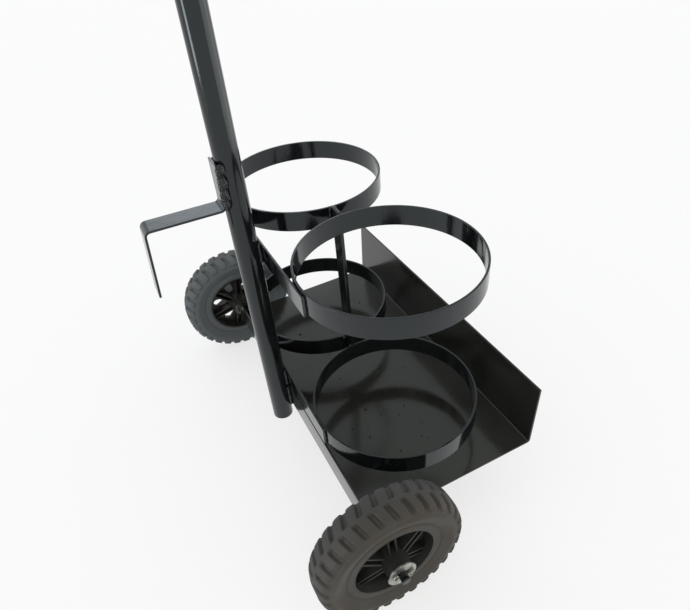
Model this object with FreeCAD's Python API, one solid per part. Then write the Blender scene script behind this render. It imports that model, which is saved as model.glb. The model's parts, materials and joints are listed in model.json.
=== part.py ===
import FreeCAD, Part
import math
import os

# Double cylinder cart: a folded tray on two wheels, with two rows of rings that hold two gas cylinders.
# Lengths are in millimetres and angles in degrees. +X is the operator's right, +Y the front, +Z up.
# The pieces are laid out with Y = 0 on the cylinders' axes and Z = 0 on the ground, and the whole cart is
# then moved along Y so that its origin lies under the middle of its box.

# Cylinders, and the flat-bar rings and straps around them
CYLINDER_DIAMETER = 231.0
RING_CLEARANCE = 1.5
BAND_HEIGHT = 30.0
BAND_THICKNESS = 3.0
LOWER_RING_ABOVE_FLOOR = 47.0
RING_RISE = 241.0
STRAP_OVERHANG = 13.5
UPPER_STRAP_DROP = 5.0
POST_WIDTH = 25.0
POST_THICKNESS = 5.0
POST_BEHIND_AXES = 6.0

# Folded tray
SHEET_THICKNESS = 3.0
SHEET_BEND_RADIUS = 2.0
TRAY_END_MARGIN = 8.0
TRAY_FRONT_MARGIN = 32.5
LIP_HEIGHT = 107.5
LIP_LEAN = 3.5
FLANGE_BELOW_STRAP = 5.0

# Stand under the front of the tray
STAND_BAR_WIDTH = 30.0
STAND_BAR_THICKNESS = 5.0
STAND_BEND_RADIUS = 8.0
STAND_SPREAD = 200.0
STAND_BEHIND_LIP = 40.0

# Column and handle
COLUMN_DIAMETER = 31.8
COLUMN_WALL = 2.0
COLUMN_BELOW_FLOOR = 21.0
HANDLE_HEIGHT = 1040.0
CROSSBAR_DIAMETER = 25.4
CROSSBAR_WALL = 2.0
CROSSBAR_LENGTH = 400.0
GRIP_LENGTH = 115.0
GRIP_WALL = 3.5
GRIP_END_WALL = 4.0
GRIP_COLLAR_HEIGHT = 4.0
GRIP_COLLAR_WIDTH = 5.0

# Hose hook
HOOK_BAR_WIDTH = 30.0
HOOK_BAR_THICKNESS = 3.0
HOOK_BEND_RADIUS = 5.0
HOOK_ABOVE_RINGS = 54.0
HOOK_LEG = 60.5
HOOK_ARM = 99.0
HOOK_ARM_RISE = 2.0
HOOK_TAIL = 90.0
HOOK_TAIL_FLARE = 7.0

# Stub axles and what is on them
AXLE_DIAMETER = 12.0
AXLE_IN_TRAY = 32.0
AXLE_CHAMFER = 1.5
AXLE_PAST_PIN = 9.0
WHEEL_GAP = 16.5
WASHER_THICKNESS = 2.5
WASHER_CLEARANCE = 0.2
WASHER_PLAY = 0.4
INNER_WASHER_DIAMETER = 30.0
OUTER_WASHER_DIAMETER = 40.0
SPACER_WALL = 4.0
SPACER_CLEARANCE = 0.1
PIN_DIAMETER = 3.2
PIN_WIRE_DIAMETER = 2.2
PIN_CLEARANCE = 0.2
PIN_TURN = 70.0
PIN_STANDOUT = 1.5
PIN_EYE_RADIUS = 3.2
PIN_LEG_LENGTH = 9.0
PIN_LEG_SPREAD = 35.0

# Wheels
WHEEL_DIAMETER = 207.0
TYRE_WIDTH = 54.0
TYRE_SEAT_DIAMETER = 118.0
TYRE_BEAD_SET_BACK = 6.0
TYRE_BEAD_HEIGHT = 7.75
TYRE_SIDE_GROOVE = 2.0
TYRE_SIDEWALL_DROP = 17.0
TYRE_SHOULDER_DROP = 8.0
TYRE_SHOULDER_SET_BACK = 1.5
TREAD_WIDTH = 40.0
TREAD_EDGE_DROP = 2.5
TREAD_FLAT_WIDTH = 20.0
LUG_COUNT = 30
LUG_DEPTH = 4.5
LUG_SIDE_DEPTH = 2.5
LUG_TIP_DROP = 10.0
LUG_GROOVE_WIDTH = 7.0
LUG_GROOVE_SLANT = 14.0
LUG_CENTRE_BAND = 4.0
HUB_LENGTH = 70.0
HUB_DIAMETER = 38.0
HUB_DRAFT = 2.0
BUSH_WALL = 3.0
BUSH_CLEARANCE = 0.05
RIM_WALL = 2.5
RIM_DRAFT = 3.5
RIM_KEY_WIDTH = 14.0
RIM_KEY_HEIGHT = 4.0
WEB_THICKNESS = 5.0
SPOKE_COUNT = 6
SPOKE_RIB_THICKNESS = 2.5
SPOKE_RIB_SPACING = 10.0
SPOKE_HUB_HEIGHT = 18.0
SPOKE_RIM_HEIGHT = 11.0
OVAL_LENGTH = 25.0
OVAL_WIDTH = 14.0
LEFT_RIM_TURN = -9.0

# Allowance by which a cutting tool overshoots, or a fused rib reaches into its neighbour
OVERSHOOT = 1.0

# Sizes and places that follow from those above
RING_INNER_R = CYLINDER_DIAMETER / 2 + RING_CLEARANCE
RING_OUTER_R = RING_INNER_R + BAND_THICKNESS
RING_X = POST_WIDTH / 2 + RING_OUTER_R
STRAP_REAR_Y = -RING_OUTER_R - BAND_THICKNESS
COLUMN_R = COLUMN_DIAMETER / 2
COLUMN_Y = STRAP_REAR_Y - COLUMN_R
WHEEL_R = WHEEL_DIAMETER / 2
AXLE_R = AXLE_DIAMETER / 2
AXLE_Z = WHEEL_R
AXLE_Y = STRAP_REAR_Y + SHEET_THICKNESS + AXLE_R
FLOOR_Z = AXLE_Z - AXLE_R
LOWER_RING_Z = FLOOR_Z + LOWER_RING_ABOVE_FLOOR
UPPER_RING_Z = LOWER_RING_Z + RING_RISE
RINGS_TOP_Z = UPPER_RING_Z + BAND_HEIGHT
TRAY_END_X = RING_X + RING_OUTER_R + TRAY_END_MARGIN
TRAY_FRONT_Y = RING_OUTER_R + TRAY_FRONT_MARGIN
TYRE_HALF = TYRE_WIDTH / 2
HUB_HALF = HUB_LENGTH / 2
SEAT_R = TYRE_SEAT_DIAMETER / 2
BUSH_R = AXLE_R + BUSH_CLEARANCE + BUSH_WALL
WHEEL_X = TRAY_END_X + WHEEL_GAP + TYRE_HALF
INNER_WASHER_X = WHEEL_X - HUB_HALF - WASHER_PLAY - WASHER_THICKNESS
OUTER_WASHER_X = WHEEL_X + HUB_HALF + WASHER_PLAY
PIN_R = PIN_DIAMETER / 2
PIN_X = OUTER_WASHER_X + WASHER_THICKNESS + PIN_CLEARANCE + PIN_R
AXLE_START_X = TRAY_END_X - AXLE_IN_TRAY
AXLE_END_X = PIN_X + AXLE_PAST_PIN

ALONG_X = FreeCAD.Vector(1, 0, 0)
ALONG_Y = FreeCAD.Vector(0, 1, 0)
ALONG_Z = FreeCAD.Vector(0, 0, 1)
CENTRE = FreeCAD.Vector(0, 0, 0)


def at(x, y, z):
    return FreeCAD.Vector(x, y, z)


def moved(shape, offset):
    copy = shape.copy()
    copy.translate(offset)
    return copy


def turned(shape, axis, angle):
    copy = shape.copy()
    copy.rotate(CENTRE, axis, angle)
    return copy


def mirrored(shape):
    return shape.mirror(CENTRE, ALONG_X)


def block(low, high):
    size = high - low
    return Part.makeBox(size.x, size.y, size.z, low)


def sleeve(outer_radius, inner_radius, length, start, axis):
    outer = Part.makeCylinder(outer_radius, length, start, axis)
    return outer.cut(Part.makeCylinder(inner_radius, length, start, axis))


def polygon_face(points):
    return Part.Face(Part.makePolygon(points + points[:1]))


def line(start, end):
    return Part.LineSegment(start, end).toShape()


def arc(start, middle, end):
    return Part.Arc(start, middle, end).toShape()


def rounded_line(points, radii):
    """Edges of a line through points, with an arc of its own radius at each corner between its ends."""
    edges = []
    start = points[0]
    for before, corner, after, radius in zip(points, points[1:], points[2:], radii):
        back = (before - corner).normalize()
        ahead = (after - corner).normalize()
        half_angle = back.getAngle(ahead) / 2
        bisector = (back + ahead).normalize()
        enter = corner + back * (radius / math.tan(half_angle))
        leave = corner + ahead * (radius / math.tan(half_angle))
        middle = corner + bisector * (radius / math.sin(half_angle) - radius)
        edges += [line(start, enter), arc(enter, middle, leave)]
        start = leave
    return edges + [line(start, points[-1])]


def bent_strip(points, across, width, thickness, inner_radius):
    """Flat stock bent along points, which lie on one face of it, with its width along across.

    The other face lies on the side of across x direction.
    """
    directions = [(end - start).normalize() for start, end in zip(points, points[1:])]
    near_radii = []
    far_radii = []
    far_points = [points[0] + across.cross(directions[0]) * thickness]
    for corner, before, after in zip(points[1:], directions, directions[1:]):
        outward = across.cross(before) + across.cross(after)
        far_points.append(corner + outward * (thickness / (1 + before.dot(after))))
        bends_towards_far_face = before.cross(after).dot(across) > 0
        near_radii.append(inner_radius + thickness if bends_towards_far_face else inner_radius)
        far_radii.append(inner_radius if bends_towards_far_face else inner_radius + thickness)
    far_points.append(points[-1] + across.cross(directions[-1]) * thickness)

    edges = rounded_line(points, near_radii)
    edges.append(line(points[-1], far_points[-1]))
    edges += rounded_line(far_points, far_radii)
    edges.append(line(far_points[0], points[0]))
    face = Part.Face(Part.Wire(Part.__sortEdges__(edges)))
    face.translate(across * (-width / 2))
    return face.extrude(across * width)


# Tray, rings, post and straps

def base_tray():
    """Sheet folded up into a low rear flange and a tall lip that leans forward, open at both ends."""
    under_z = FLOOR_Z - SHEET_THICKNESS
    flange_top = LOWER_RING_Z - FLANGE_BELOW_STRAP
    lip_front = TRAY_FRONT_Y + SHEET_THICKNESS
    outline = [
        at(0, STRAP_REAR_Y, flange_top),
        at(0, STRAP_REAR_Y, under_z),
        at(0, lip_front, under_z),
        at(0, lip_front + LIP_LEAN, FLOOR_Z + LIP_HEIGHT),
    ]
    return bent_strip(outline, ALONG_X, 2 * TRAY_END_X, SHEET_THICKNESS, SHEET_BEND_RADIUS)


def ring(bottom_z):
    return sleeve(RING_OUTER_R, RING_INNER_R, BAND_HEIGHT, at(RING_X, 0, bottom_z), ALONG_Z)


def cross_strap(bottom_z):
    half_length = RING_X + STRAP_OVERHANG
    low = at(-half_length, STRAP_REAR_Y, bottom_z)
    high = at(half_length, -RING_OUTER_R, bottom_z + BAND_HEIGHT)
    return block(low, high)


def centre_post():
    """Upright flat bar between the rings, from the bottom of the lower ones to the top of the upper ones."""
    half_thickness = POST_THICKNESS / 2
    low = at(-POST_WIDTH / 2, -POST_BEHIND_AXES - half_thickness, LOWER_RING_Z)
    high = at(POST_WIDTH / 2, -POST_BEHIND_AXES + half_thickness, RINGS_TOP_Z)
    return block(low, high)


def front_stand():
    """Flat bar bent into a U that stands on the ground and is welded under the tray."""
    top_z = FLOOR_Z - SHEET_THICKNESS
    stand_y = TRAY_FRONT_Y - STAND_BEHIND_LIP
    half_spread = STAND_SPREAD / 2
    outline = [
        at(half_spread, stand_y, top_z),
        at(half_spread, stand_y, 0),
        at(-half_spread, stand_y, 0),
        at(-half_spread, stand_y, top_z),
    ]
    return bent_strip(outline, ALONG_Y, STAND_BAR_WIDTH, STAND_BAR_THICKNESS, STAND_BEND_RADIUS)


# Column, handle and hook

def crossbar_start():
    return at(-CROSSBAR_LENGTH / 2, COLUMN_Y, HANDLE_HEIGHT)


def column_tube():
    """Round tube, open at its foot and coped at its top to seat the crossbar."""
    foot_z = FLOOR_Z - COLUMN_BELOW_FLOOR
    length = HANDLE_HEIGHT - foot_z
    tube = sleeve(COLUMN_R, COLUMN_R - COLUMN_WALL, length, at(0, COLUMN_Y, foot_z), ALONG_Z)
    return tube.cut(Part.makeCylinder(CROSSBAR_DIAMETER / 2, CROSSBAR_LENGTH, crossbar_start(), ALONG_X))


def handle_crossbar():
    outer_r = CROSSBAR_DIAMETER / 2
    return sleeve(outer_r, outer_r - CROSSBAR_WALL, CROSSBAR_LENGTH, crossbar_start(), ALONG_X)


def grip():
    """Moulded sleeve with a closed, chamfered end and a collar at its inner end."""
    bore_r = CROSSBAR_DIAMETER / 2
    body_r = bore_r + GRIP_WALL
    end_x = CROSSBAR_LENGTH / 2
    start_x = end_x - GRIP_LENGTH
    collar_x = start_x + GRIP_COLLAR_WIDTH
    outline = [
        at(start_x, 0, bore_r),
        at(start_x, 0, body_r + GRIP_COLLAR_HEIGHT),
        at(collar_x, 0, body_r + GRIP_COLLAR_HEIGHT),
        at(collar_x, 0, body_r),
        at(end_x, 0, body_r),
        at(end_x + GRIP_END_WALL, 0, bore_r),
        at(end_x + GRIP_END_WALL, 0, 0),
        at(end_x, 0, 0),
        at(end_x, 0, bore_r),
    ]
    shape = polygon_face(outline).revolve(CENTRE, ALONG_X, 360)
    return moved(shape, at(0, COLUMN_Y, HANDLE_HEIGHT))


def hose_hook():
    """Flat bar with a leg welded up the back of the column, an arm and a hanging tail."""
    leg_y = COLUMN_Y - COLUMN_R
    arm_z = RINGS_TOP_Z + HOOK_ABOVE_RINGS
    tail_y = leg_y - HOOK_ARM
    tail_top_z = arm_z + HOOK_ARM_RISE
    outline = [
        at(0, leg_y, arm_z + HOOK_LEG),
        at(0, leg_y, arm_z),
        at(0, tail_y, tail_top_z),
        at(0, tail_y - HOOK_TAIL_FLARE, tail_top_z - HOOK_TAIL),
    ]
    return bent_strip(outline, -ALONG_X, HOOK_BAR_WIDTH, HOOK_BAR_THICKNESS, HOOK_BEND_RADIUS)


# Right-hand stub axle and the small pieces on it

def pin_placed(shape):
    """A shape made about the Z axis, turned and moved into the axle's cross hole."""
    return moved(turned(shape, ALONG_X, PIN_TURN), at(PIN_X, AXLE_Y, AXLE_Z))


def stub_axle():
    length = AXLE_END_X - AXLE_START_X
    straight = length - AXLE_CHAMFER
    bar = Part.makeCylinder(AXLE_R, straight, at(AXLE_START_X, AXLE_Y, AXLE_Z), ALONG_X)
    tip_start = at(AXLE_END_X - AXLE_CHAMFER, AXLE_Y, AXLE_Z)
    tip = Part.makeCone(AXLE_R, AXLE_R - AXLE_CHAMFER, AXLE_CHAMFER, tip_start, ALONG_X)
    hole_half = AXLE_R + OVERSHOOT
    hole = Part.makeCylinder(PIN_R + PIN_CLEARANCE, 2 * hole_half, at(0, 0, -hole_half), ALONG_Z)
    return bar.fuse(tip).cut(pin_placed(hole)).removeSplitter()


def axle_spacer():
    bore_r = AXLE_R + SPACER_CLEARANCE
    length = INNER_WASHER_X - TRAY_END_X
    return sleeve(bore_r + SPACER_WALL, bore_r, length, at(TRAY_END_X, AXLE_Y, AXLE_Z), ALONG_X)


def washer(diameter, start_x):
    bore_r = AXLE_R + WASHER_CLEARANCE
    return sleeve(diameter / 2, bore_r, WASHER_THICKNESS, at(start_x, AXLE_Y, AXLE_Z), ALONG_X)


def eight_sided_bar(radius, length):
    """Bar that stands on the XY plane, with its corners on a circle of that radius."""
    angles = [math.radians(45 * corner) for corner in range(8)]
    corners = [at(radius * math.cos(angle), radius * math.sin(angle), 0) for angle in angles]
    return polygon_face(corners).extrude(ALONG_Z * length)


def split_pin():
    """Straight shank through the axle, with a ring eye at one end and two spread legs at the other."""
    reach = AXLE_R + PIN_STANDOUT
    wire_r = PIN_WIRE_DIAMETER / 2
    shank = moved(eight_sided_bar(PIN_R, 2 * reach), at(0, 0, -reach))
    ring_outer = eight_sided_bar(PIN_EYE_RADIUS + wire_r, PIN_WIRE_DIAMETER)
    ring_inner = eight_sided_bar(PIN_EYE_RADIUS - wire_r, PIN_WIRE_DIAMETER)
    eye = turned(moved(ring_outer.cut(ring_inner), at(0, 0, -wire_r)), ALONG_Y, 90)
    leg = turned(eight_sided_bar(wire_r, PIN_LEG_LENGTH), ALONG_X, 180)
    legs = [moved(turned(leg, ALONG_X, side * PIN_LEG_SPREAD), at(0, 0, -reach)) for side in (1, -1)]
    return pin_placed(shank.fuse([moved(eye, at(0, 0, reach + PIN_EYE_RADIUS))] + legs))


# Right-hand wheel, made about the X axis with its middle plane at X = 0

def wheel_placed(shape):
    return moved(shape, at(WHEEL_X, AXLE_Y, AXLE_Z))


def both_sides(points):
    """An outline of the right-hand half of a section, closed by its mirror image."""
    return points + [at(-point.x, 0, point.z) for point in reversed(points)]


def tyre_outline():
    """Right-hand half of the tyre's section, from the crown down the shoulder and sidewall to the rim's key."""
    bead_x = TYRE_HALF - TYRE_BEAD_SET_BACK
    bead_r = SEAT_R + TYRE_BEAD_HEIGHT
    half_key = RIM_KEY_WIDTH / 2
    return [
        at(TREAD_FLAT_WIDTH / 2, 0, WHEEL_R),
        at(TREAD_WIDTH / 2, 0, WHEEL_R - TREAD_EDGE_DROP),
        at(TYRE_HALF - TYRE_SHOULDER_SET_BACK, 0, WHEEL_R - TYRE_SHOULDER_DROP),
        at(TYRE_HALF, 0, WHEEL_R - TYRE_SIDEWALL_DROP),
        at(bead_x, 0, bead_r + 2 * TYRE_SIDE_GROOVE),
        at(bead_x - TYRE_SIDE_GROOVE, 0, bead_r + TYRE_SIDE_GROOVE),
        at(bead_x, 0, bead_r),
        at(bead_x, 0, SEAT_R),
        at(half_key, 0, SEAT_R),
        at(half_key, 0, SEAT_R + RIM_KEY_HEIGHT),
    ]


def tread_groove():
    """Slanted slot between two lugs, on the outboard side of the tread at the top of the wheel."""
    past_r = WHEEL_R + LUG_DEPTH
    past_x = TYRE_HALF + LUG_DEPTH
    foot_r = WHEEL_R - LUG_TIP_DROP
    floor_r = WHEEL_R - LUG_DEPTH
    outline = [
        at(LUG_CENTRE_BAND / 2, 0, floor_r),
        at(TREAD_WIDTH / 2 - LUG_SIDE_DEPTH, 0, floor_r - TREAD_EDGE_DROP),
        at(TYRE_HALF - LUG_SIDE_DEPTH, 0, foot_r + LUG_SIDE_DEPTH),
        at(TYRE_HALF, 0, foot_r),
        at(past_x, 0, foot_r),
        at(past_x, 0, past_r),
        at(LUG_CENTRE_BAND / 2, 0, past_r),
    ]
    slot = polygon_face(outline).extrude(ALONG_Y * LUG_GROOVE_WIDTH)
    slot.translate(ALONG_Y * (-LUG_GROOVE_WIDTH / 2))
    return turned(slot, ALONG_Z, LUG_GROOVE_SLANT)


def tyre():
    """Solid rubber ring with a groove that seats on the rim's key, and two staggered rows of lugs."""
    body = polygon_face(both_sides(tyre_outline())).revolve(CENTRE, ALONG_X, 360)
    pitch = 360 / LUG_COUNT
    outboard = tread_groove()
    inboard = turned(mirrored(outboard), ALONG_X, pitch / 2)
    slots = []
    for index in range(LUG_COUNT):
        slots.append(turned(outboard, ALONG_X, index * pitch))
        slots.append(turned(inboard, ALONG_X, index * pitch))
    return body.cut(slots)


def spoke_rib(offset_y):
    """One upright rib from the hub to the barrel, on the outboard face of the web."""
    barrel_r = SEAT_R - RIM_WALL - RIM_DRAFT
    hub_r = HUB_DIAMETER / 2 - HUB_DRAFT
    outline = [
        at(0, 0, hub_r - OVERSHOOT),
        at(SPOKE_HUB_HEIGHT, 0, hub_r - OVERSHOOT),
        at(SPOKE_RIM_HEIGHT, 0, barrel_r + RIM_DRAFT + OVERSHOOT),
        at(0, 0, barrel_r + RIM_DRAFT + OVERSHOOT),
    ]
    rib = polygon_face(outline).extrude(ALONG_Y * SPOKE_RIB_THICKNESS)
    return moved(rib, ALONG_Y * (offset_y - SPOKE_RIB_THICKNESS / 2))


def oval_hole(centre_r):
    """Rounded slot along the radius, through the web."""
    end_r = OVAL_WIDTH / 2
    half_straight = OVAL_LENGTH / 2 - end_r
    start_x = -WEB_THICKNESS
    depth = 2 * WEB_THICKNESS
    low = at(start_x, -end_r, centre_r - half_straight)
    high = at(start_x + depth, end_r, centre_r + half_straight)
    ends = [
        Part.makeCylinder(end_r, depth, at(start_x, 0, centre_r + side * half_straight), ALONG_X)
        for side in (1, -1)
    ]
    return block(low, high).fuse(ends)


def rim():
    """Moulded rim: hub, web and dished barrel in one, double ribs on both faces and oval holes between."""
    half_web = WEB_THICKNESS / 2
    half_key = RIM_KEY_WIDTH / 2
    hub_r = HUB_DIAMETER / 2
    edge_x = TYRE_HALF - TYRE_BEAD_SET_BACK
    edge_r = SEAT_R - RIM_WALL
    barrel_r = edge_r - RIM_DRAFT
    outboard = [
        at(HUB_HALF, 0, BUSH_R),
        at(HUB_HALF, 0, hub_r - HUB_DRAFT),
        at(half_web, 0, hub_r),
        at(half_web, 0, barrel_r),
        at(edge_x, 0, edge_r),
        at(edge_x, 0, SEAT_R),
        at(half_key, 0, SEAT_R),
        at(half_key, 0, SEAT_R + RIM_KEY_HEIGHT),
    ]
    body = polygon_face(both_sides(outboard)).revolve(CENTRE, ALONG_X, 360)

    pair = [spoke_rib(side * SPOKE_RIB_SPACING / 2) for side in (1, -1)]
    pair += [mirrored(rib) for rib in pair]
    hole = oval_hole((hub_r + barrel_r) / 2)
    pitch = 360 / SPOKE_COUNT
    ribs = []
    holes = []
    for index in range(SPOKE_COUNT):
        ribs += [turned(rib, ALONG_X, index * pitch) for rib in pair]
        holes.append(turned(hole, ALONG_X, (index + 0.5) * pitch))
    return body.fuse(ribs).cut(holes)


def bush():
    bore_r = AXLE_R + BUSH_CLEARANCE
    return sleeve(BUSH_R, bore_r, HUB_LENGTH, at(-HUB_HALF, 0, 0), ALONG_X)


# Whole cart

def cart():
    pieces = {
        "base_tray": base_tray(),
        "centre_post": centre_post(),
        "lower_cross_strap": cross_strap(LOWER_RING_Z),
        "upper_cross_strap": cross_strap(UPPER_RING_Z - UPPER_STRAP_DROP),
        "column_tube": column_tube(),
        "handle_crossbar": handle_crossbar(),
        "hose_hook": hose_hook(),
        "front_stand": front_stand(),
    }
    right_hand_pieces = {
        "lower_ring": ring(LOWER_RING_Z),
        "upper_ring": ring(UPPER_RING_Z),
        "grip": grip(),
        "stub_axle": stub_axle(),
        "axle_spacer": axle_spacer(),
        "inner_washer": washer(INNER_WASHER_DIAMETER, INNER_WASHER_X),
        "outer_washer": washer(OUTER_WASHER_DIAMETER, OUTER_WASHER_X),
        "split_pin": split_pin(),
        "tyre": wheel_placed(tyre()),
        "rim": wheel_placed(rim()),
        "bush": wheel_placed(bush()),
    }
    for name, shape in right_hand_pieces.items():
        pieces[name + "_right"] = shape
        pieces[name + "_left"] = mirrored(shape)
    pieces["rim_left"] = mirrored(wheel_placed(turned(rim(), ALONG_X, LEFT_RIM_TURN)))
    return pieces


pieces = cart()
box = Part.makeCompound(list(pieces.values())).BoundBox
to_origin = at(0, -box.Center.y, 0)
os.makedirs("parts", exist_ok=True)
for name, shape in pieces.items():
    moved(shape, to_origin).exportStep("parts/" + name + ".step")
print("cylinder axes at Y =", round(to_origin.y, 3), "mm")
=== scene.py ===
import json
import math
import random

import bpy
from mathutils import Matrix, Vector, noise


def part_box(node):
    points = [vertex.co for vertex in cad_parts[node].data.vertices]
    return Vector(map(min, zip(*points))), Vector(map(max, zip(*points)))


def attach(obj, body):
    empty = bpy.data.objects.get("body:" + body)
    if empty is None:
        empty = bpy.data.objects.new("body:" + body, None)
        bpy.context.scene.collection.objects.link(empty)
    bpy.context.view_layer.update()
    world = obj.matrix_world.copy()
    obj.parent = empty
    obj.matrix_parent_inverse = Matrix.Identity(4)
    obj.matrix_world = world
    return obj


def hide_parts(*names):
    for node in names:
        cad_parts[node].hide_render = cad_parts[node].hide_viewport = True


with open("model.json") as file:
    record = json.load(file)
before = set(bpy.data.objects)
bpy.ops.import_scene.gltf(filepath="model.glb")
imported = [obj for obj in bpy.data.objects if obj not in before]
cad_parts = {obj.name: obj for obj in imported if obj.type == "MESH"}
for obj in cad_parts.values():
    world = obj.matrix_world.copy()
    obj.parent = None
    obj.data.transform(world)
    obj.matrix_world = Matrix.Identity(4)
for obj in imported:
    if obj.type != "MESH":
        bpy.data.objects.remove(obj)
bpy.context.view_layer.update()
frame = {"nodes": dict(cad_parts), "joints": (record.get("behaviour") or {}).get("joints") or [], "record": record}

# Lengths are in metres and angles in degrees. The cart's places and outer sizes come from the frame.

# Edges of the solids, rounded by kind of piece
EDGE_ROUNDING = {
    "base_tray": 0.0006,
    "lower_ring": 0.0005,
    "upper_ring": 0.0005,
    "lower_cross_strap": 0.0006,
    "upper_cross_strap": 0.0006,
    "centre_post": 0.0010,
    "column_tube": 0.0004,
    "hose_hook": 0.0007,
    "front_stand": 0.0009,
    "handle_crossbar": 0.0004,
    "stub_axle": 0.0003,
    "axle_spacer": 0.0004,
    "inner_washer": 0.0004,
    "outer_washer": 0.0004,
    "rim": 0.0006,
    "bush": 0.0003,
}
EDGE_SEGMENTS = 2
SHARP_ANGLE = 40.0
FLAT_ANGLE = 0.5
SAME_POINT = 0.00001

# Sizes of the solids that their boxes don't show
SHEET_THICKNESS = 0.003
FLANGE_BELOW_STRAP = 0.005
STAND_BAR_THICKNESS = 0.005
HOOK_LEG = 0.0605
RIM_KEY_HEIGHT = 0.004

# Weld beads, where a SHARE is one of the bead's radius
WELD_SEED = 7
SMALL_WELD = 0.0022
WELD = 0.0030
HEAVY_WELD = 0.0042
HEAVY_WELD_UNEVENNESS = 1.8
WELD_STEP = 0.0008
WELD_SIDES = 12
WELD_RIPPLE = 0.0030
WELD_RIPPLE_SHARE = 0.07
WELD_LUMPS_PER_METRE = 160.0
WELD_WANDER_SHARE = 0.16
WELD_SWELL_SHARE = 0.22
WELD_TIP_SHARE = 0.15
WELD_SINK_SHARE = 0.7
WELD_RISE_SHARE = 0.4
POST_CAP_SINK_SHARE = 0.3
AXLE_WELD_RISE_SHARE = 0.5
WELD_PAST_EDGE = 0.0004
HEAVY_WELD_PAST_EDGE = 0.0030
TUBE_WELD_SPREAD = 0.0105
RING_SEAM_SPREAD = 0.020
SADDLE_WELD_END = 80
SADDLE_WELD_STEP = 5

# Weld spatter on the tray
SPATTER_SEED = 7
SPATTER_COUNT = 44
SPATTER_SPREAD = 0.055
SPATTER_SMALLEST = 0.0009
SPATTER_LARGEST = 0.0027
SPATTER_RARITY = 1.6
SPATTER_FLATNESS = 0.9
SPATTER_LEVELS = (-0.95, -0.8, -0.5, 0.0, 0.5, 0.8, 0.95)

# Tyres, with the sizes that the solids have, and the rounding of their section and lugs
TYRE_BEAD_SET_BACK = 0.006
TYRE_BEAD_HEIGHT = 0.00775
TYRE_SIDE_GROOVE = 0.002
TYRE_SIDEWALL_DROP = 0.017
TYRE_SHOULDER_DROP = 0.008
TYRE_SHOULDER_SET_BACK = 0.0015
TREAD_WIDTH = 0.040
TREAD_EDGE_DROP = 0.0025
TREAD_FLAT_WIDTH = 0.020
TREAD_FLAT_ROUNDING = 0.003
TREAD_EDGE_ROUNDING = 0.0025
TYRE_SHOULDER_ROUNDING = 0.0025
TYRE_SIDEWALL_ROUNDING = 0.003
TYRE_BEAD_ROUNDING = 0.0012
LUG_COUNT = 30
LUG_DEPTH = 0.0045
LUG_SIDE_DEPTH = 0.0025
LUG_TIP_DROP = 0.010
LUG_GROOVE_WIDTH = 0.007
LUG_GROOVE_SLANT = 14.0
LUG_CENTRE_BAND = 0.004
LUG_EDGE_ROUNDING = 0.0014
LUG_EDGE_SHARES = (-1, -0.35, 0.35, 1)
LUG_FADE = 0.011
TREAD_STEP = 0.0017
BEAD_STEP = 0.0012

# Grips
GRIP_WALL = 0.0035
GRIP_COLLAR_HEIGHT = 0.004
GRIP_COLLAR_WIDTH = 0.005
GRIP_END_WALL = 0.004
GRIP_FACE_ROUNDING = 0.0012
GRIP_COLLAR_ROUNDING = 0.0020
GRIP_FOOT_ROUNDING = 0.0015
GRIP_END_ROUNDING = 0.0020
GRIP_RIDGES = 22
GRIP_RIDGE_DEPTH = 0.0009
GRIP_STEP = 0.0008
GRIP_SIDES = 48

# Split pins
PIN_WIRE_R = 0.0008
PIN_FLATNESS = 2.0
PIN_TURN = 70.0
PIN_STANDOUT = 0.0015
PIN_EYE_RADIUS = 0.0032
PIN_EYE_START = -60
PIN_EYE_END = 240
PIN_EYE_STEP = 15
PIN_EYE_ROUNDING = 0.0003
PIN_LEG_LENGTH = 0.009
PIN_LEG_SPREAD = 35.0
PIN_LEG_ROUNDING = 0.0015
PIN_STEP = 0.0005
PIN_SIDES = 10

# Pieces that a rounded corner of a line is made of
CORNER_PIECES = 6

# Camera, fitted to the outlines of the rings, tray, column and wheels
IMAGE_WIDTH = 690
FOCAL_PIXELS = 571.891
SENSOR_WIDTH_MM = 36.0
CAMERA_CLIP_START = 0.01
CAMERA_FROM_RINGS = Vector((0.635007, -0.279093, 0.662819))
CAMERA_AZIMUTH = 156.8496
CAMERA_PITCH = 38.9998
CAMERA_ROLL = -5.8537

# Floor and light
FLOOR_REACH = 20.0
FLOOR_COLOUR = (0.94, 0.94, 0.94)
FLOOR_ROUGHNESS = 0.9
FLOOR_WHITENESS = 0.7
WHITE = (1.0, 1.0, 1.0)
COOL_WHITE = (0.94, 0.99, 1.05)
WARM_WHITE = (1.03, 1.0, 0.95)
HORIZON_TO_ZENITH = (0.15, 0.65)
SKY_STRENGTHS = (1.25, 0.78)
WINDOW_DIRECTION = Vector((-0.900, 0.191, 0.391))
WINDOW_EDGE_ANGLE = 14.0
WINDOW_CORE_ANGLE = 8.0
WINDOW_STRENGTH = 1.3
SOFTBOXES = {
    "softbox": {
        "place": Vector((0.13, -1.88, 0.53)),
        "width": 0.54,
        "height": 0.80,
        "brightness": 6.5,
        "colour": (0.90, 0.96, 1.0),
    },
    "side_panel": {
        "place": Vector((0.42, 1.10, 0.34)),
        "width": 1.5,
        "height": 0.66,
        "brightness": 1.2,
        "colour": (1.0, 0.99, 0.97),
    },
}
KEY_STRENGTH = 0.25
KEY_ANGLE = 50.0
KEY_DIRECTION = Vector((0.45, 0.35, -1.0))

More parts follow.
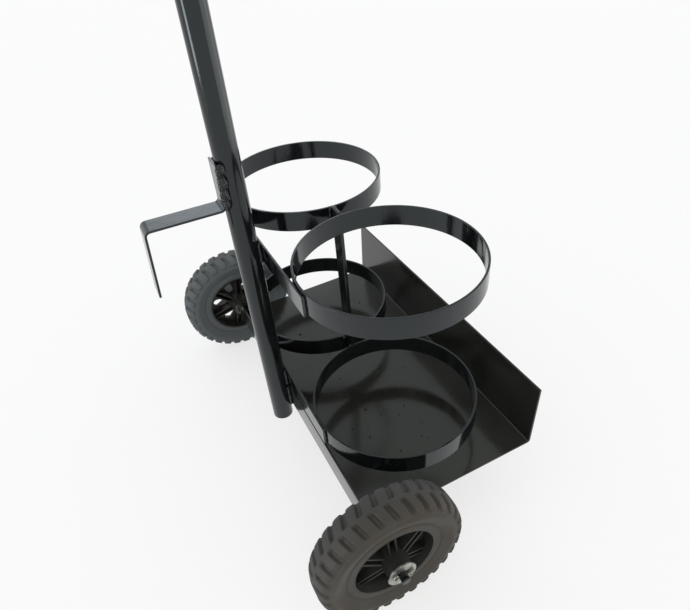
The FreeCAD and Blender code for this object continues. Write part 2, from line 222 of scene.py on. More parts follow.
# Looks, with the scales of noise per metre
# Reflection tints of the black paint, painted light: they colour the frame's reflections cool and the tray's a
# little green, as the light each reflects
PAINTED_COOL_REFLECTION_TINT = (0.88, 0.97, 1.0)
PAINTED_TRAY_REFLECTION_TINT = (0.96, 1.0, 0.95)
NOISE_DETAIL = 4.0
NOISE_ROUGHNESS = 0.55
NOISE_RANGE = (0.3, 0.7)
PAINT_RUN_STRETCH = (1.0, 1.0, 0.14)
PAINT_RIPPLE_SCALE = 70.0
PAINT_RIPPLE_DETAIL = 2.0
PAINT_RIPPLE_HEIGHT = 0.00007
ZINC_PATCH_RANGE = (0.36, 0.62)
ZINC_ROUGHNESS = (0.25, 0.45)
RUBBER_ROUGHNESS = (0.55, 0.75)
CLEAN_RUBBER = ((0.020, 0.0205, 0.0185), (0.044, 0.0445, 0.0395))
# Paler, bluer rubber of the left wheel, painted cool light that falls on that wheel
PAINTED_LIGHT_RUBBER = ((0.056, 0.066, 0.070), (0.098, 0.115, 0.122))
DUST = (0.041, 0.034, 0.025)
DUST_START = -0.015
DUST_END = 0.020
DUST_AMOUNT = 1.6
MOULDING_GRAIN_SCALE = 650.0
MOULDING_GRAIN_STRENGTH = 0.5
NO_TO_FULL = (0.0, 1.0)

# Sockets of the node that mixes two colours
MIX_FIRST = 6
MIX_SECOND = 7
MIX_RESULT = 2

# What the frame says
mounts = {mount["name"]: mount for mount in frame["record"]["mounts"]}
joints = {joint["name"]: joint for joint in frame["joints"]}
ring_axis = Vector(mounts["cylinder_rings_right"]["pos_m"])
wheel_centre = Vector(joints["right_wheel_spin"]["pos_m"])
wheel_r = wheel_centre.z

ALONG_Y = Vector((0, 1, 0))
ALONG_Z = Vector((0, 0, 1))
SIDES = {"right": 1, "left": -1}


# Lines and surfaces

def resample(line, step):
    """Points along a line at even distances, with both its ends."""
    lengths = [(end - start).length for start, end in zip(line, line[1:])]
    count = max(round(sum(lengths) / step), 1)
    spacing = sum(lengths) / count
    points = [line[0]]
    passed = 0.0
    for start, end, length in zip(line, line[1:], lengths):
        while len(points) < count and len(points) * spacing <= passed + length:
            points.append(start.lerp(end, (len(points) * spacing - passed) / length))
        passed += length
    return points + [line[-1]]


def rounded_line(points, cuts):
    """Line through points, with each inner corner rounded over its own distance on both sides."""
    line = [points[0]]
    for before, corner, after, cut in zip(points, points[1:], points[2:], cuts):
        enter = corner + (before - corner).normalized() * cut
        leave = corner + (after - corner).normalized() * cut
        for piece in range(CORNER_PIECES + 1):
            along = piece / CORNER_PIECES
            line.append(enter.lerp(corner, along).lerp(corner.lerp(leave, along), along))
    return line + [points[-1]]


def smooth_step(value):
    value = min(max(value, 0.0), 1.0)
    return value * value * (3 - 2 * value)


def circle(centre, across, over, radius, sides):
    """Points round a circle in the plane of two directions."""
    points = []
    for side in range(sides):
        angle = 2 * math.pi * side / sides
        points.append(centre + (across * math.cos(angle) + over * math.sin(angle)) * radius)
    return points


def ring_faces(rings, sides):
    """Faces between rings of vertices that follow each other."""
    faces = []
    for ring in range(rings - 1):
        for side in range(sides):
            here = ring * sides + side
            beside = ring * sides + (side + 1) % sides
            faces.append((here, beside, beside + sides, here + sides))
    return faces


def capped_faces(rings, sides):
    """Faces between rings of vertices that follow each other, and over the first and the last ring."""
    first_cap = tuple(reversed(range(sides)))
    last_cap = tuple(range((rings - 1) * sides, rings * sides))
    return ring_faces(rings, sides) + [first_cap, last_cap]


def sweep(points, radii, sides):
    """Round bar of changing radius along points, closed at both ends."""
    vertices = []
    direction = (points[1] - points[0]).normalized()
    across = direction.orthogonal().normalized()
    for index, (point, radius) in enumerate(zip(points, radii)):
        before = points[max(index - 1, 0)]
        after = points[min(index + 1, len(points) - 1)]
        new_direction = (after - before).normalized()
        across = direction.rotation_difference(new_direction) @ across
        direction = new_direction
        vertices += circle(point, across, direction.cross(across), radius, sides)
    return vertices, capped_faces(len(points), sides)


def lathe(centres, radii, sides):
    """Surface turned about the line along X through centres, with a flat cap at each end."""
    vertices = []
    for centre, radius in zip(centres, radii):
        vertices += circle(centre, ALONG_Y, ALONG_Z, radius, sides)
    return vertices, capped_faces(len(centres), sides)


def closed_grid(rows, columns, place):
    """Surface closed both ways, with the vertex of each row and column at place(row, column)."""
    vertices = [place(row, column) for row in range(rows) for column in range(columns)]
    faces = [tuple(corner % len(vertices) for corner in face) for face in ring_faces(rows + 1, columns)]
    return vertices, faces


def add_piece(name, surfaces, material, body, flip=False):
    """One smooth mesh made of surfaces, which rides on a body."""
    vertices = []
    faces = []
    for own_vertices, own_faces in surfaces:
        first = len(vertices)
        vertices += own_vertices
        faces += [tuple(first + corner for corner in face) for face in own_faces]
    mesh = bpy.data.meshes.new(name)
    mesh.from_pydata(vertices, [], faces)
    if flip:
        mesh.flip_normals()
    mesh.shade_smooth()
    mesh.materials.append(material)
    piece = bpy.data.objects.new(name, mesh)
    bpy.context.scene.collection.objects.link(piece)
    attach(piece, body)
    return piece


# Materials

class NodeTree:
    """Nodes of a material or the world, with a short call for each kind of node that is used here."""

    def __init__(self, owner):
        owner.use_nodes = True
        self.nodes = owner.node_tree.nodes
        self.links = owner.node_tree.links

    def feed(self, node, inputs):
        """Gives inputs of a node their values, or links them to the outputs given for them."""
        for key, value in inputs.items():
            socket = node.inputs[key]
            if isinstance(value, bpy.types.NodeSocket):
                self.links.new(value, socket)
            elif socket.type == "RGBA":
                socket.default_value = (*value, 1.0)
            else:
                socket.default_value = value
        return node

    def add(self, kind, inputs):
        return self.feed(self.nodes.new(kind), inputs)

    def dress(self, inputs):
        """Sets the surface of a material."""
        return self.feed(self.nodes["Principled BSDF"], inputs)

    def place_on_object(self):
        return self.nodes.new("ShaderNodeTexCoord").outputs["Object"]

    def noise(self, place, scale, detail=NOISE_DETAIL):
        inputs = {"Vector": place, "Scale": scale, "Detail": detail, "Roughness": NOISE_ROUGHNESS}
        return self.add("ShaderNodeTexNoise", inputs).outputs["Fac"]

    def remap(self, value, old, new):
        """Value that goes through the range new while the given one goes through the range old."""
        inputs = {"Value": value, "From Min": old[0], "From Max": old[1], "To Min": new[0], "To Max": new[1]}
        return self.add("ShaderNodeMapRange", inputs).outputs["Result"]

    def mix(self, share, first, second):
        """Colour between two colours."""
        node = self.nodes.new("ShaderNodeMix")
        node.data_type = "RGBA"
        self.feed(node, {"Factor": share, MIX_FIRST: first, MIX_SECOND: second})
        return node.outputs[MIX_RESULT]

    def calculate(self, operation, first, second):
        node = self.nodes.new("ShaderNodeMath")
        node.operation = operation
        return self.feed(node, {0: first, 1: second}).outputs["Value"]

    def bump(self, height, strength, distance):
        inputs = {"Height": height, "Strength": strength, "Distance": distance}
        return self.add("ShaderNodeBump", inputs).outputs["Normal"]


def new_material(name):
    material = bpy.data.materials.new(name)
    return material, NodeTree(material)


def gloss_paint(name, colours, roughness, run_depth, specular, tint):
    """Gloss black paint with a faint ripple, upright runs and smudges."""
    material, tree = new_material(name)
    place = tree.place_on_object()
    stretched = tree.add("ShaderNodeMapping", {"Vector": place, "Scale": PAINT_RUN_STRETCH}).outputs["Vector"]
    smudges = tree.noise(place, scale=11.0, detail=5.0)
    ripple = tree.noise(place, PAINT_RIPPLE_SCALE, PAINT_RIPPLE_DETAIL)
    runs = tree.noise(stretched, PAINT_RIPPLE_SCALE, PAINT_RIPPLE_DETAIL)
    height = tree.calculate("ADD", ripple, tree.calculate("MULTIPLY", runs, run_depth))
    tree.dress({
        "Base Color": tree.mix(smudges, *colours),
        "Roughness": tree.remap(smudges, NOISE_RANGE, roughness),
        "Normal": tree.bump(height, strength=1.0, distance=PAINT_RIPPLE_HEIGHT),
        "Specular IOR Level": specular,
        # The tint is painted light, a colour of light laid over the paint's reflections
        "Specular Tint": tint,
    })
    return material


def zinc_plate(name, colours):
    """Plated steel with a fine grain and duller patches."""
    material, tree = new_material(name)
    place = tree.place_on_object()
    patches = tree.noise(place, scale=90.0)
    grain = tree.noise(place, scale=900.0)
    tree.dress({
        "Base Color": tree.mix(tree.remap(patches, ZINC_PATCH_RANGE, NO_TO_FULL), *colours),
        "Roughness": tree.remap(patches, NOISE_RANGE, ZINC_ROUGHNESS),
        "Normal": tree.bump(grain, strength=0.3, distance=0.00006),
        "Metallic": 1.0,
    })
    return material


def matt_moulding(name, colours, roughness, grain_depth, specular=0.5):
    """Moulded rubber or plastic with a fine grain and a little dust."""
    material, tree = new_material(name)
    place = tree.place_on_object()
    patches = tree.noise(place, scale=20.0, detail=6.0)
    grain = tree.noise(place, MOULDING_GRAIN_SCALE)
    tree.dress({
        "Base Color": tree.mix(patches, *colours),
        "Roughness": tree.remap(patches, NOISE_RANGE, roughness),
        "Normal": tree.bump(grain, MOULDING_GRAIN_STRENGTH, grain_depth),
        "Specular IOR Level": specular,
    })
    return material


def tyre_rubber():
    """Grey rubber with a fine grain, paler and bluer on the left wheel as painted cool light, and browned by dust
    on the outward sides.
    """
    material, tree = new_material("tyre_rubber")
    place = tree.place_on_object()
    x = tree.add("ShaderNodeSeparateXYZ", {"Vector": place}).outputs["X"]
    patches = tree.noise(place, scale=18.0, detail=6.0)
    grain = tree.noise(place, MOULDING_GRAIN_SCALE)
    dusty_from = wheel_centre.x + DUST_START
    dusty_to = wheel_centre.x + DUST_END
    outward = tree.remap(tree.calculate("ABSOLUTE", x, 0.0), (dusty_from, dusty_to), (0.0, DUST_AMOUNT))
    # Painted cool light: the left wheel's rubber turns paler and bluer
    painted_light_to_left = tree.remap(x, (0.0, -wheel_centre.x), NO_TO_FULL)
    grey_and_painted_light = tree.mix(painted_light_to_left, tree.mix(patches, *CLEAN_RUBBER), tree.mix(patches, *PAINTED_LIGHT_RUBBER))
    tree.dress({
        "Base Color": tree.mix(tree.calculate("MULTIPLY", outward, patches), grey_and_painted_light, DUST),
        "Roughness": tree.remap(patches, NOISE_RANGE, RUBBER_ROUGHNESS),
        "Normal": tree.bump(grain, MOULDING_GRAIN_STRENGTH, distance=0.0002),
    })
    return material


paint = gloss_paint(
    "black_paint",
    colours=((0.0030, 0.0034, 0.0040), (0.0080, 0.0088, 0.0092)),
    roughness=(0.08, 0.16),
    run_depth=3.0,
    specular=0.5,
    tint=PAINTED_COOL_REFLECTION_TINT,
)
# The tray's copy of the black paint is lighter and olive, painted light that stands in for the olive light its
# floor reflects
tray_paint_with_painted_light = gloss_paint(
    "tray_paint_with_painted_light",
    colours=((0.0110, 0.0116, 0.0094), (0.0214, 0.0220, 0.0180)),
    roughness=(0.12, 0.20),
    run_depth=1.0,
    specular=0.5,
    tint=PAINTED_TRAY_REFLECTION_TINT,
)
zinc = zinc_plate("zinc_plate", colours=((0.14, 0.14, 0.125), (0.46, 0.465, 0.43)))
# Darker copy of the zinc plate for the inner washers, painted shade of the gap between hub and tray where they sit
shaded_zinc = zinc_plate("shaded_zinc", colours=((0.05, 0.05, 0.046), (0.15, 0.15, 0.14)))
rubber = tyre_rubber()
rim_plastic = matt_moulding(
    "rim_plastic",
    colours=((0.016, 0.016, 0.0138), (0.027, 0.027, 0.0235)),
    roughness=(0.4, 0.55),
    grain_depth=0.00008,
    specular=0.3,
)
nylon = matt_moulding(
    "bush_nylon",
    colours=((0.55, 0.54, 0.50), (0.70, 0.69, 0.65)),
    roughness=(0.4, 0.55),
    grain_depth=0.00005,
)
grip_rubber = matt_moulding(
    "grip_rubber",
    colours=((0.007, 0.007, 0.007), (0.016, 0.016, 0.015)),
    roughness=(0.6, 0.8),
    grain_depth=0.00015,
)
material_of_slot = {
    "black_paint": paint,
    "zinc": zinc,
    "tyre_rubber": rubber,
    "rim_plastic": rim_plastic,
    "bush_nylon": nylon,
    "grip_rubber": grip_rubber,
}
# The tray takes a lighter olive copy of the black paint as painted light, and the inner washers a darker copy of
# the zinc as painted shade
material_of_kind = {"base_tray": tray_paint_with_painted_light, "inner_washer": shaded_zinc}


# The solids, with rounded edges

def round_edges(node, radius):
    """Rounds a solid's sharp edges by modifiers, and leaves its own vertices as they are."""
    mesh = node.data
    for name in ("custom_normal", "sharp_edge"):
        if name in mesh.attributes:
            mesh.attributes.remove(mesh.attributes[name])
    mesh.shade_smooth()
    weld = node.modifiers.new("weld", "WELD")
    weld.merge_threshold = SAME_POINT
    flatten = node.modifiers.new("flatten", "DECIMATE")
    flatten.decimate_type = "DISSOLVE"
    flatten.angle_limit = math.radians(FLAT_ANGLE)
    bevel = node.modifiers.new("bevel", "BEVEL")
    bevel.width = radius
    bevel.segments = EDGE_SEGMENTS
    bevel.limit_method = "ANGLE"
    bevel.angle_limit = math.radians(SHARP_ANGLE)
    bevel.harden_normals = True


def dress_solids():
    """Gives each solid the material of its kind or slot, and rounded edges."""
    for subpart in frame["record"]["subparts"]:
        name = subpart["node"]
        node = frame["nodes"][name]
        kind = name.removesuffix("_left").removesuffix("_right")
        material = material_of_kind.get(kind, material_of_slot[subpart["material_slot"]])
        node.data.materials.clear()
        node.data.materials.append(material)
        if kind in EDGE_ROUNDING:
            round_edges(node, EDGE_ROUNDING[kind])


# Welds

def weld_bead(line, radius, unevenness=1.0):
    """Rippled, uneven bead along a line, rounded off at both ends."""
    points = resample(line, WELD_STEP)
    total = (len(points) - 1) * WELD_STEP
    centres = []
    radii = []
    for index, point in enumerate(points):
        along = index * WELD_STEP
        to_end = min(along, total - along, radius) / radius
        closing = max(math.sqrt(1 - (1 - to_end) ** 2), WELD_TIP_SHARE)
        stray = noise.noise_vector(point * WELD_LUMPS_PER_METRE)
        ripple = 1 + WELD_RIPPLE_SHARE * math.cos(2 * math.pi * along / WELD_RIPPLE)
        centres.append(point + stray * (radius * WELD_WANDER_SHARE * unevenness))
        radii.append(radius * closing * ripple * (1 + WELD_SWELL_SHARE * unevenness * stray.x))
    return sweep(centres, radii, WELD_SIDES)


def upright_bead(x, y, low_z, high_z, radius, unevenness=1.0):
    return weld_bead([Vector((x, y, low_z)), Vector((x, y, high_z))], radius, unevenness)


def sideways_bead(start_x, end_x, y, z, radius):
    return weld_bead([Vector((start_x, y, z)), Vector((end_x, y, z))], radius)


def saddle_line(side):
    """Line in which the crossbar's underside meets one side of the column."""
    low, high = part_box("column_tube")
    bar_low, bar_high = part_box("handle_crossbar")
    column_y = (low.y + high.y) / 2
    column_r = (high.x - low.x) / 2
    bar_r = (bar_high.z - bar_low.z) / 2
    line = []
    for degrees in range(-SADDLE_WELD_END, SADDLE_WELD_END + 1, SADDLE_WELD_STEP):
        across = bar_r * math.sin(math.radians(degrees))
        drop = bar_r * math.cos(math.radians(degrees))
        out = math.sqrt(column_r ** 2 - across ** 2)
        line.append(Vector((side * out, column_y + across, bar_high.z - bar_r - drop)))
    return line


def column_welds():
    """Beads in the corners between the column and the straps, the tray's flange and the crossbar."""
    bead_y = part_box("column_tube")[1].y - WELD * WELD_SINK_SHARE
    floor_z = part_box("base_tray")[0].z + SHEET_THICKNESS
    flange_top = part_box("lower_cross_strap")[0].z - FLANGE_BELOW_STRAP
    beads = []
    for side in SIDES.values():
        x = side * TUBE_WELD_SPREAD
        for strap in ("lower_cross_strap", "upper_cross_strap"):
            strap_low, strap_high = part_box(strap)
            beads.append(upright_bead(x, bead_y, strap_low.z, strap_high.z, WELD))
        beads.append(upright_bead(x, bead_y, floor_z, flange_top, WELD))
        beads.append(weld_bead(saddle_line(side), SMALL_WELD))
    return beads


def hook_welds():
    """Two beads over each other up each side of the hook's leg, rough and heavy on the right."""
    hook_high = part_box("hose_hook")[1]
    leg_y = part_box("column_tube")[0].y
    low_z = hook_high.z - HOOK_LEG
    beads = []
    for side, radius, past_edge, unevenness in (
        (1, HEAVY_WELD, HEAVY_WELD_PAST_EDGE, HEAVY_WELD_UNEVENNESS),
        (-1, WELD, WELD_PAST_EDGE, 1.0),
    ):
        x = side * (hook_high.x + past_edge - radius)
        inner_x = x - side * radius * WELD_RISE_SHARE
        inner_y = leg_y + radius * WELD_SINK_SHARE
        beads.append(upright_bead(x, leg_y, low_z, hook_high.z - WELD, radius, unevenness))
        beads.append(upright_bead(inner_x, inner_y, low_z, hook_high.z, radius, unevenness))
    return beads


def ring_welds():
    """Beads where the rings meet the straps and the post, and over the post's top."""
    post_low, post_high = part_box("centre_post")
    rear_y = post_low.y - WELD * WELD_RISE_SHARE
    front_y = post_high.y + SMALL_WELD * WELD_RISE_SHARE
    beads = []
    for level in ("lower", "upper"):
        strap_low, strap_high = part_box(level + "_cross_strap")
        ring_low, ring_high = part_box(level + "_ring_right")
        foot_z = max(strap_low.z, ring_low.z)
        head_z = min(strap_high.z, ring_high.z)
        seam_y = strap_high.y + SMALL_WELD * WELD_RISE_SHARE
        for side in SIDES.values():
            post_x = side * post_high.x
            seam_x = side * (ring_axis.x - RING_SEAM_SPREAD)
            beads.append(upright_bead(side * strap_high.x, strap_high.y, foot_z, head_z, SMALL_WELD))
            beads.append(upright_bead(seam_x, seam_y, foot_z, head_z, SMALL_WELD))
            beads.append(upright_bead(post_x, rear_y, ring_low.z, ring_high.z, WELD))
            beads.append(upright_bead(post_x, front_y, ring_low.z, ring_high.z, SMALL_WELD))
    cap_y = (post_low.y + post_high.y) / 2
    cap_z = post_high.z - WELD * POST_CAP_SINK_SHARE
    beads.append(sideways_bead(post_low.x, post_high.x, cap_y, cap_z, WELD))
    return beads


def floor_welds():
    """Beads along the stub axles and over the stand's legs."""
    stand_low, stand_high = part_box("front_stand")
    tray_end_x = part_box("base_tray")[1].x
    beads = []
    for name, side in SIDES.items():
        axle_low, axle_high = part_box("stub_axle_" + name)
        start_x = min(axle_low.x, axle_high.x, key=abs)
        front_z = axle_low.z + SMALL_WELD * AXLE_WELD_RISE_SHARE
        rear_z = axle_high.z - SMALL_WELD
        beads.append(sideways_bead(start_x, side * tray_end_x, axle_high.y - SMALL_WELD, front_z, SMALL_WELD))
        beads.append(sideways_bead(start_x, side * tray_end_x, axle_low.y, rear_z, SMALL_WELD))
        for inset in (0.0, STAND_BAR_THICKNESS):
            x = side * (stand_high.x - inset)
            leg = [Vector((x, stand_low.y, stand_high.z)), Vector((x, stand_high.y, stand_high.z))]
            beads.append(weld_bead(leg, SMALL_WELD))
    return beads


def weld_spatter():
    """Drops of weld metal stuck to the tray's floor under the paint, thickest inside the rings."""
    draw = random.Random(SPATTER_SEED)
    floor_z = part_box("base_tray")[0].z + SHEET_THICKNESS
    drops = []
    for drop in range(SPATTER_COUNT):
        side = draw.choice((1, -1))
        x = side * ring_axis.x + draw.gauss(0, SPATTER_SPREAD)
        y = ring_axis.y + draw.gauss(0, SPATTER_SPREAD)
        radius = SPATTER_SMALLEST + (SPATTER_LARGEST - SPATTER_SMALLEST) * draw.random() ** SPATTER_RARITY
        points = [Vector((x, y, floor_z + radius * SPATTER_FLATNESS * level)) for level in SPATTER_LEVELS]
        radii = [radius * math.sqrt(1 - level ** 2) for level in SPATTER_LEVELS]
        drops.append(sweep(points, radii, WELD_SIDES))
    return drops


def add_welds():
    """Adds the beads and the spatter, with the same lumps on every run because the noise is seeded first."""
    noise.seed_set(WELD_SEED)
    groups = {
        "weld_spatter": weld_spatter(),
        "column_welds": column_welds(),
        "hook_welds": hook_welds(),
        "ring_welds": ring_welds(),
        "floor_welds": floor_welds(),
    }
    for name, beads in groups.items():
        add_piece(name, beads, paint, "frame")


# Tyres

def tyre_section(half_width, seat_r):
    """Right-hand half of the tyre's section, from the crown to the rim seat, as points (x, 0, radius)."""
    bead_x = half_width - TYRE_BEAD_SET_BACK
    bead_r = seat_r + TYRE_BEAD_HEIGHT
    wall_points = [
        Vector((0, 0, wheel_r)),
        Vector((TREAD_FLAT_WIDTH / 2, 0, wheel_r)),
        Vector((TREAD_WIDTH / 2, 0, wheel_r - TREAD_EDGE_DROP)),
        Vector((half_width - TYRE_SHOULDER_SET_BACK, 0, wheel_r - TYRE_SHOULDER_DROP)),
        Vector((half_width, 0, wheel_r - TYRE_SIDEWALL_DROP)),
        Vector((bead_x, 0, bead_r + 2 * TYRE_SIDE_GROOVE)),
    ]
    wall_cuts = [TREAD_FLAT_ROUNDING, TREAD_EDGE_ROUNDING, TYRE_SHOULDER_ROUNDING, TYRE_SIDEWALL_ROUNDING]
    bead_points = [
        wall_points[-1],
        Vector((bead_x - TYRE_SIDE_GROOVE, 0, bead_r + TYRE_SIDE_GROOVE)),
        Vector((bead_x, 0, bead_r)),
        Vector((bead_x, 0, seat_r)),
    ]
    wall = rounded_line(wall_points, wall_cuts)
    bead = rounded_line(bead_points, [TYRE_BEAD_ROUNDING, TYRE_BEAD_ROUNDING])
    return resample(wall, TREAD_STEP) + resample(bead, BEAD_STEP)[1:]


def lengths_along(line):
    """Distance of each point of a line from its start, along it."""
    lengths = [0.0]
    for start, end in zip(line, line[1:]):
        lengths.append(lengths[-1] + (end - start).length)
    return lengths


def inward_directions(line):
    """Direction into the tyre at each point of its section."""
    directions = []
    for index in range(len(line)):
        before = line[max(index - 1, 0)]
        after = line[min(index + 1, len(line) - 1)]
        directions.append(ALONG_Y.cross((after - before).normalized()))
    return directions


def groove_depth(drop, along, tip):
    """Depth of the grooves between the lugs at a point of the section, and past the lugs' tips."""
    off_centre = smooth_step((along - LUG_CENTRE_BAND / 2) / LUG_EDGE_ROUNDING)
    over_edge = smooth_step((drop - TREAD_EDGE_DROP) / (TYRE_SHOULDER_DROP - TREAD_EDGE_DROP))
    past_tip = smooth_step((along - tip) / LUG_FADE)
    return (LUG_DEPTH + (LUG_SIDE_DEPTH - LUG_DEPTH) * over_edge) * off_centre * (1 - past_tip)


def groove_angles(pitch, half_groove):
    """Angles of the mesh round the tyre, closest together at the edges of the lugs of both rows."""
    edges = [half_groove + LUG_EDGE_ROUNDING * share for share in LUG_EDGE_SHARES]
    offsets = sorted([0.0] + edges + [-edge for edge in edges])
    angles = []
    for row in range(2 * LUG_COUNT):
        angles += [row * pitch / 2 + offset / wheel_r for offset in offsets]
    return angles


def lugged_tyre(name, side):
    """Solid tyre with two staggered rows of lugs that wrap over the shoulders to round tips."""
    low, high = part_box("tyre_" + name)
    centre = (low + high) / 2
    rim_low, rim_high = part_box("rim_" + name)
    seat_r = (rim_high.z - rim_low.z) / 2 - RIM_KEY_HEIGHT
    half = tyre_section((high.x - low.x) / 2, seat_r)
    along = lengths_along(half)
    inward = inward_directions(half)
    tip = next(length for length, point in zip(along, half) if wheel_r - point.z >= LUG_TIP_DROP)
    pitch = 2 * math.pi / LUG_COUNT
    half_groove = LUG_GROOVE_WIDTH / 2
    half_lug = pitch * wheel_r / 2 - half_groove
    angles = groove_angles(pitch, half_groove)
    order = [(index, 1) for index in range(len(half))]
    order += [(index, -1) for index in range(len(half) - 1, 0, -1)]

    def place(row, column):
        index, row_side = order[row]
        angle = angles[column]
        from_groove = angle if row_side > 0 else angle - pitch / 2
        across = (from_groove % pitch - pitch / 2) * wheel_r
        past_straight = max(along[index] - (tip - half_lug), 0.0)
        outside = math.hypot(across, past_straight) - half_lug
        cut = smooth_step((outside + LUG_EDGE_ROUNDING) / (2 * LUG_EDGE_ROUNDING))
        depth = cut * groove_depth(wheel_r - half[index].z, along[index], tip)
        at = half[index] + inward[index] * depth
        turn = angle - half[index].x * math.tan(math.radians(LUG_GROOVE_SLANT)) / wheel_r
        return centre + Vector((side * row_side * at.x, -at.z * math.sin(turn), at.z * math.cos(turn)))

    surface = closed_grid(len(order), len(angles), place)
    body = "wheel_" + name
    piece = add_piece("lugged_tyre_" + name, [surface], rubber, body, flip=side < 0)
    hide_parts("tyre_" + name)


# Grips and split pins

def ridged_grip(name, side):
    """Ridged grip with a collar at its inner end and a bore that stops short of its outer end."""
    low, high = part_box("grip_" + name)
    bar_low, bar_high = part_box("handle_crossbar")
    axis_y = (bar_low.y + bar_high.y) / 2
    axis_z = (bar_low.z + bar_high.z) / 2
    start_x = min(abs(low.x), abs(high.x))
    end_x = max(abs(low.x), abs(high.x))
    bore_r = (bar_high.z - bar_low.z) / 2
    body_r = bore_r + GRIP_WALL
    collar_r = body_r + GRIP_COLLAR_HEIGHT
    collar_x = start_x + GRIP_COLLAR_WIDTH
    bore_end_x = end_x - GRIP_END_WALL
    outside = [
        Vector((start_x, 0, bore_r)),
        Vector((start_x, 0, collar_r)),
        Vector((collar_x, 0, collar_r)),
        Vector((collar_x, 0, body_r)),
        Vector((bore_end_x, 0, body_r)),
        Vector((end_x, 0, bore_r)),
        Vector((end_x, 0, bore_r / 2)),
    ]
    cuts = [
        GRIP_FACE_ROUNDING,
        GRIP_COLLAR_ROUNDING,
        GRIP_FOOT_ROUNDING,
        GRIP_END_ROUNDING,
        GRIP_END_ROUNDING,
    ]
    ridged_from = collar_x + GRIP_END_WALL
    ridged_length = bore_end_x - GRIP_END_WALL - ridged_from
    centres = []
    radii = []
    for point in [Vector((bore_end_x, 0, bore_r))] + resample(rounded_line(outside, cuts), GRIP_STEP):
        share = (point.x - ridged_from) / ridged_length
        dip = 0.0
        if 0 < share < 1:
            dip = GRIP_RIDGE_DEPTH * (0.5 - 0.5 * math.cos(2 * math.pi * GRIP_RIDGES * share))
        centres.append(Vector((side * point.x, axis_y, axis_z)))
        radii.append(point.z - dip)
    surface = lathe(centres, radii, GRIP_SIDES)
    piece = add_piece("ridged_grip_" + name, [surface], grip_rubber, "frame", flip=side < 0)
    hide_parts("grip_" + name)


def bent_pin(name):
    """Split pin bent from one wire, with a round eye and two spread legs."""
    low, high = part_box("split_pin_" + name)
    axle_low, axle_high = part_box("stub_axle_" + name)
    reach = (axle_high.z - axle_low.z) / 2 + PIN_STANDOUT
    spread = math.radians(PIN_LEG_SPREAD)
    leg_end_y = PIN_WIRE_R + PIN_LEG_LENGTH * math.sin(spread)
    leg_end_z = -reach - PIN_LEG_LENGTH * math.cos(spread)
    eye_z = reach + PIN_EYE_RADIUS
    leg = [
        Vector((0, leg_end_y, leg_end_z)),
        Vector((0, PIN_WIRE_R, -reach)),
        Vector((0, PIN_WIRE_R, reach - PIN_WIRE_R)),
    ]
    eye = []
    for degrees in range(PIN_EYE_START, PIN_EYE_END + 1, PIN_EYE_STEP):
        angle = math.radians(degrees)
        eye.append(Vector((0, PIN_EYE_RADIUS * math.cos(angle), eye_z + PIN_EYE_RADIUS * math.sin(angle))))
    other_leg = [Vector((0, -point.y, point.z)) for point in reversed(leg)]
    route = leg + eye + other_leg
    cuts = [PIN_LEG_ROUNDING] + [PIN_EYE_ROUNDING] * (len(route) - 4) + [PIN_LEG_ROUNDING]
    points = resample(rounded_line(route, cuts), PIN_STEP)
    vertices, faces = sweep(points, [PIN_WIRE_R] * len(points), PIN_SIDES)
    place = Matrix.Translation(((low.x + high.x) / 2, wheel_centre.y, wheel_centre.z))
    place = place @ Matrix.Rotation(math.radians(PIN_TURN), 4, "X") @ Matrix.Diagonal((PIN_FLATNESS, 1, 1, 1))
    wire = ([place @ vertex for vertex in vertices], faces)
    piece = add_piece("bent_pin_" + name, [wire], zinc, "frame")
    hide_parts("split_pin_" + name)


dress_solids()
add_welds()
for name, side in SIDES.items():
    lugged_tyre(name, side)
    ridged_grip(name, side)
    bent_pin(name)


# Floor, light and camera

def floor_material():
    """Pale floor that looks whiter to the eye and in reflections, and keeps a soft shadow."""
    material, tree = new_material("floor")
    matt = tree.dress({
        "Base Color": FLOOR_COLOUR,
        "Roughness": FLOOR_ROUGHNESS,
        "Specular IOR Level": 0.0,
    })
    path = tree.nodes.new("ShaderNodeLightPath").outputs
    seen = tree.calculate("MAXIMUM", path["Is Camera Ray"], path["Is Glossy Ray"])
    seen = tree.calculate("MAXIMUM", seen, path["Is Transmission Ray"])
    white = tree.add("ShaderNodeEmission", {"Color": WHITE})
    whitened = tree.add("ShaderNodeMixShader", {
        0: tree.calculate("MULTIPLY", seen, FLOOR_WHITENESS),
        1: matt.outputs["BSDF"],
        2: white.outputs["Emission"],
    })
    tree.feed(tree.nodes["Material Output"], {"Surface": whitened.outputs["Shader"]})
    return material


def add_floor():
    reach = FLOOR_REACH
    corners = [(-reach, -reach, 0), (reach, -reach, 0), (reach, reach, 0), (-reach, reach, 0)]
    mesh = bpy.data.meshes.new("floor")
    mesh.from_pydata(corners, [], [(0, 1, 2, 3)])
    mesh.materials.append(floor_material())
    floor = bpy.data.objects.new("floor", mesh)
    bpy.context.scene.collection.objects.link(floor)


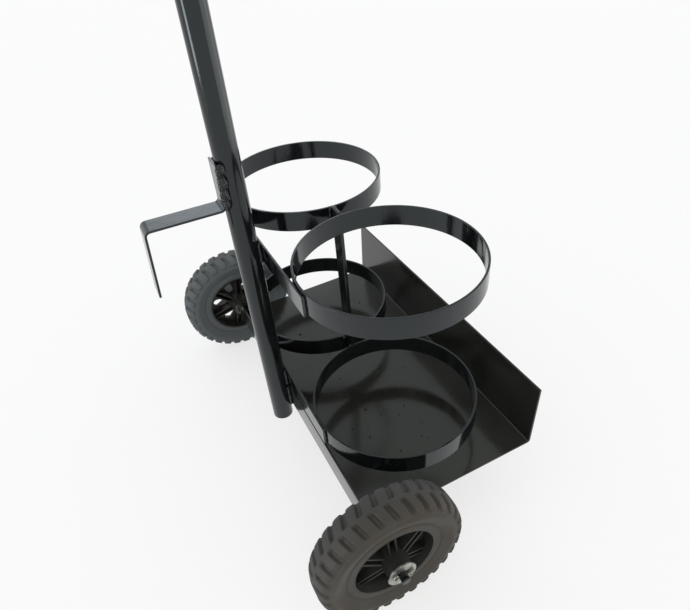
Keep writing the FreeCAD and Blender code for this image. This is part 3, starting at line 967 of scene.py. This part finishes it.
def add_world():
    """White surroundings, cool on the left and warm on the right, with a bright window low on the left."""
    world = bpy.data.worlds.new("studio")
    bpy.context.scene.world = world
    tree = NodeTree(world)
    outward = tree.nodes.new("ShaderNodeTexCoord").outputs["Generated"]
    direction = tree.add("ShaderNodeSeparateXYZ", {"Vector": outward}).outputs
    to_right = tree.remap(direction["X"], (-1.0, 1.0), NO_TO_FULL)
    sky = tree.remap(direction["Z"], HORIZON_TO_ZENITH, SKY_STRENGTHS)
    to_window = tree.add("ShaderNodeVectorMath", {0: outward, 1: WINDOW_DIRECTION.normalized()})
    to_window.operation = "DOT_PRODUCT"
    edge = math.cos(math.radians(WINDOW_EDGE_ANGLE))
    core = math.cos(math.radians(WINDOW_CORE_ANGLE))
    window = tree.remap(to_window.outputs["Value"], (edge, core), (0.0, WINDOW_STRENGTH))
    tree.feed(tree.nodes["Background"], {
        "Color": tree.mix(to_right, COOL_WHITE, WARM_WHITE),
        "Strength": tree.calculate("ADD", sky, window),
    })


def add_softbox(name, place, width, height, brightness, colour):
    """Upright soft light that faces the column and shows in gloss only, as a highlight down it."""
    light = bpy.data.lights.new(name, "AREA")
    light.shape = "RECTANGLE"
    light.size = width
    light.size_y = height
    light.energy = brightness * math.pi * width * height
    light.color = colour
    lamp = bpy.data.objects.new(name, light)
    lamp.location = place
    lamp.rotation_euler = Vector((-place.x, -place.y, 0)).to_track_quat("-Z", "Y").to_euler()
    lamp.visible_camera = False
    lamp.visible_diffuse = False
    bpy.context.scene.collection.objects.link(lamp)


def add_key_light():
    """One wide, soft light from high on the left and behind."""
    light = bpy.data.lights.new("key", "SUN")
    light.energy = KEY_STRENGTH
    light.angle = math.radians(KEY_ANGLE)
    lamp = bpy.data.objects.new("key", light)
    lamp.rotation_euler = KEY_DIRECTION.to_track_quat("-Z", "Y").to_euler()
    bpy.context.scene.collection.objects.link(lamp)


def add_camera():
    azimuth = math.radians(CAMERA_AZIMUTH)
    pitch = math.radians(CAMERA_PITCH)
    level = Vector((math.cos(azimuth), math.sin(azimuth), 0))
    forward = level * math.cos(pitch) - ALONG_Z * math.sin(pitch)
    turn = forward.to_track_quat("-Z", "Y").to_matrix().to_4x4()
    roll = Matrix.Rotation(math.radians(CAMERA_ROLL), 4, "Z")
    data = bpy.data.cameras.new("camera")
    data.sensor_width = SENSOR_WIDTH_MM
    data.lens = FOCAL_PIXELS / IMAGE_WIDTH * SENSOR_WIDTH_MM
    data.clip_start = CAMERA_CLIP_START
    camera = bpy.data.objects.new("camera", data)
    ring_line = Vector((0, ring_axis.y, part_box("lower_cross_strap")[0].z))
    camera.matrix_world = Matrix.Translation(ring_line + CAMERA_FROM_RINGS) @ turn @ roll
    bpy.context.scene.collection.objects.link(camera)
    bpy.context.scene.camera = camera


add_floor()
add_world()
for name, values in SOFTBOXES.items():
    add_softbox(name, **values)
add_key_light()
add_camera()
bpy.context.scene.view_settings.view_transform = "Standard"
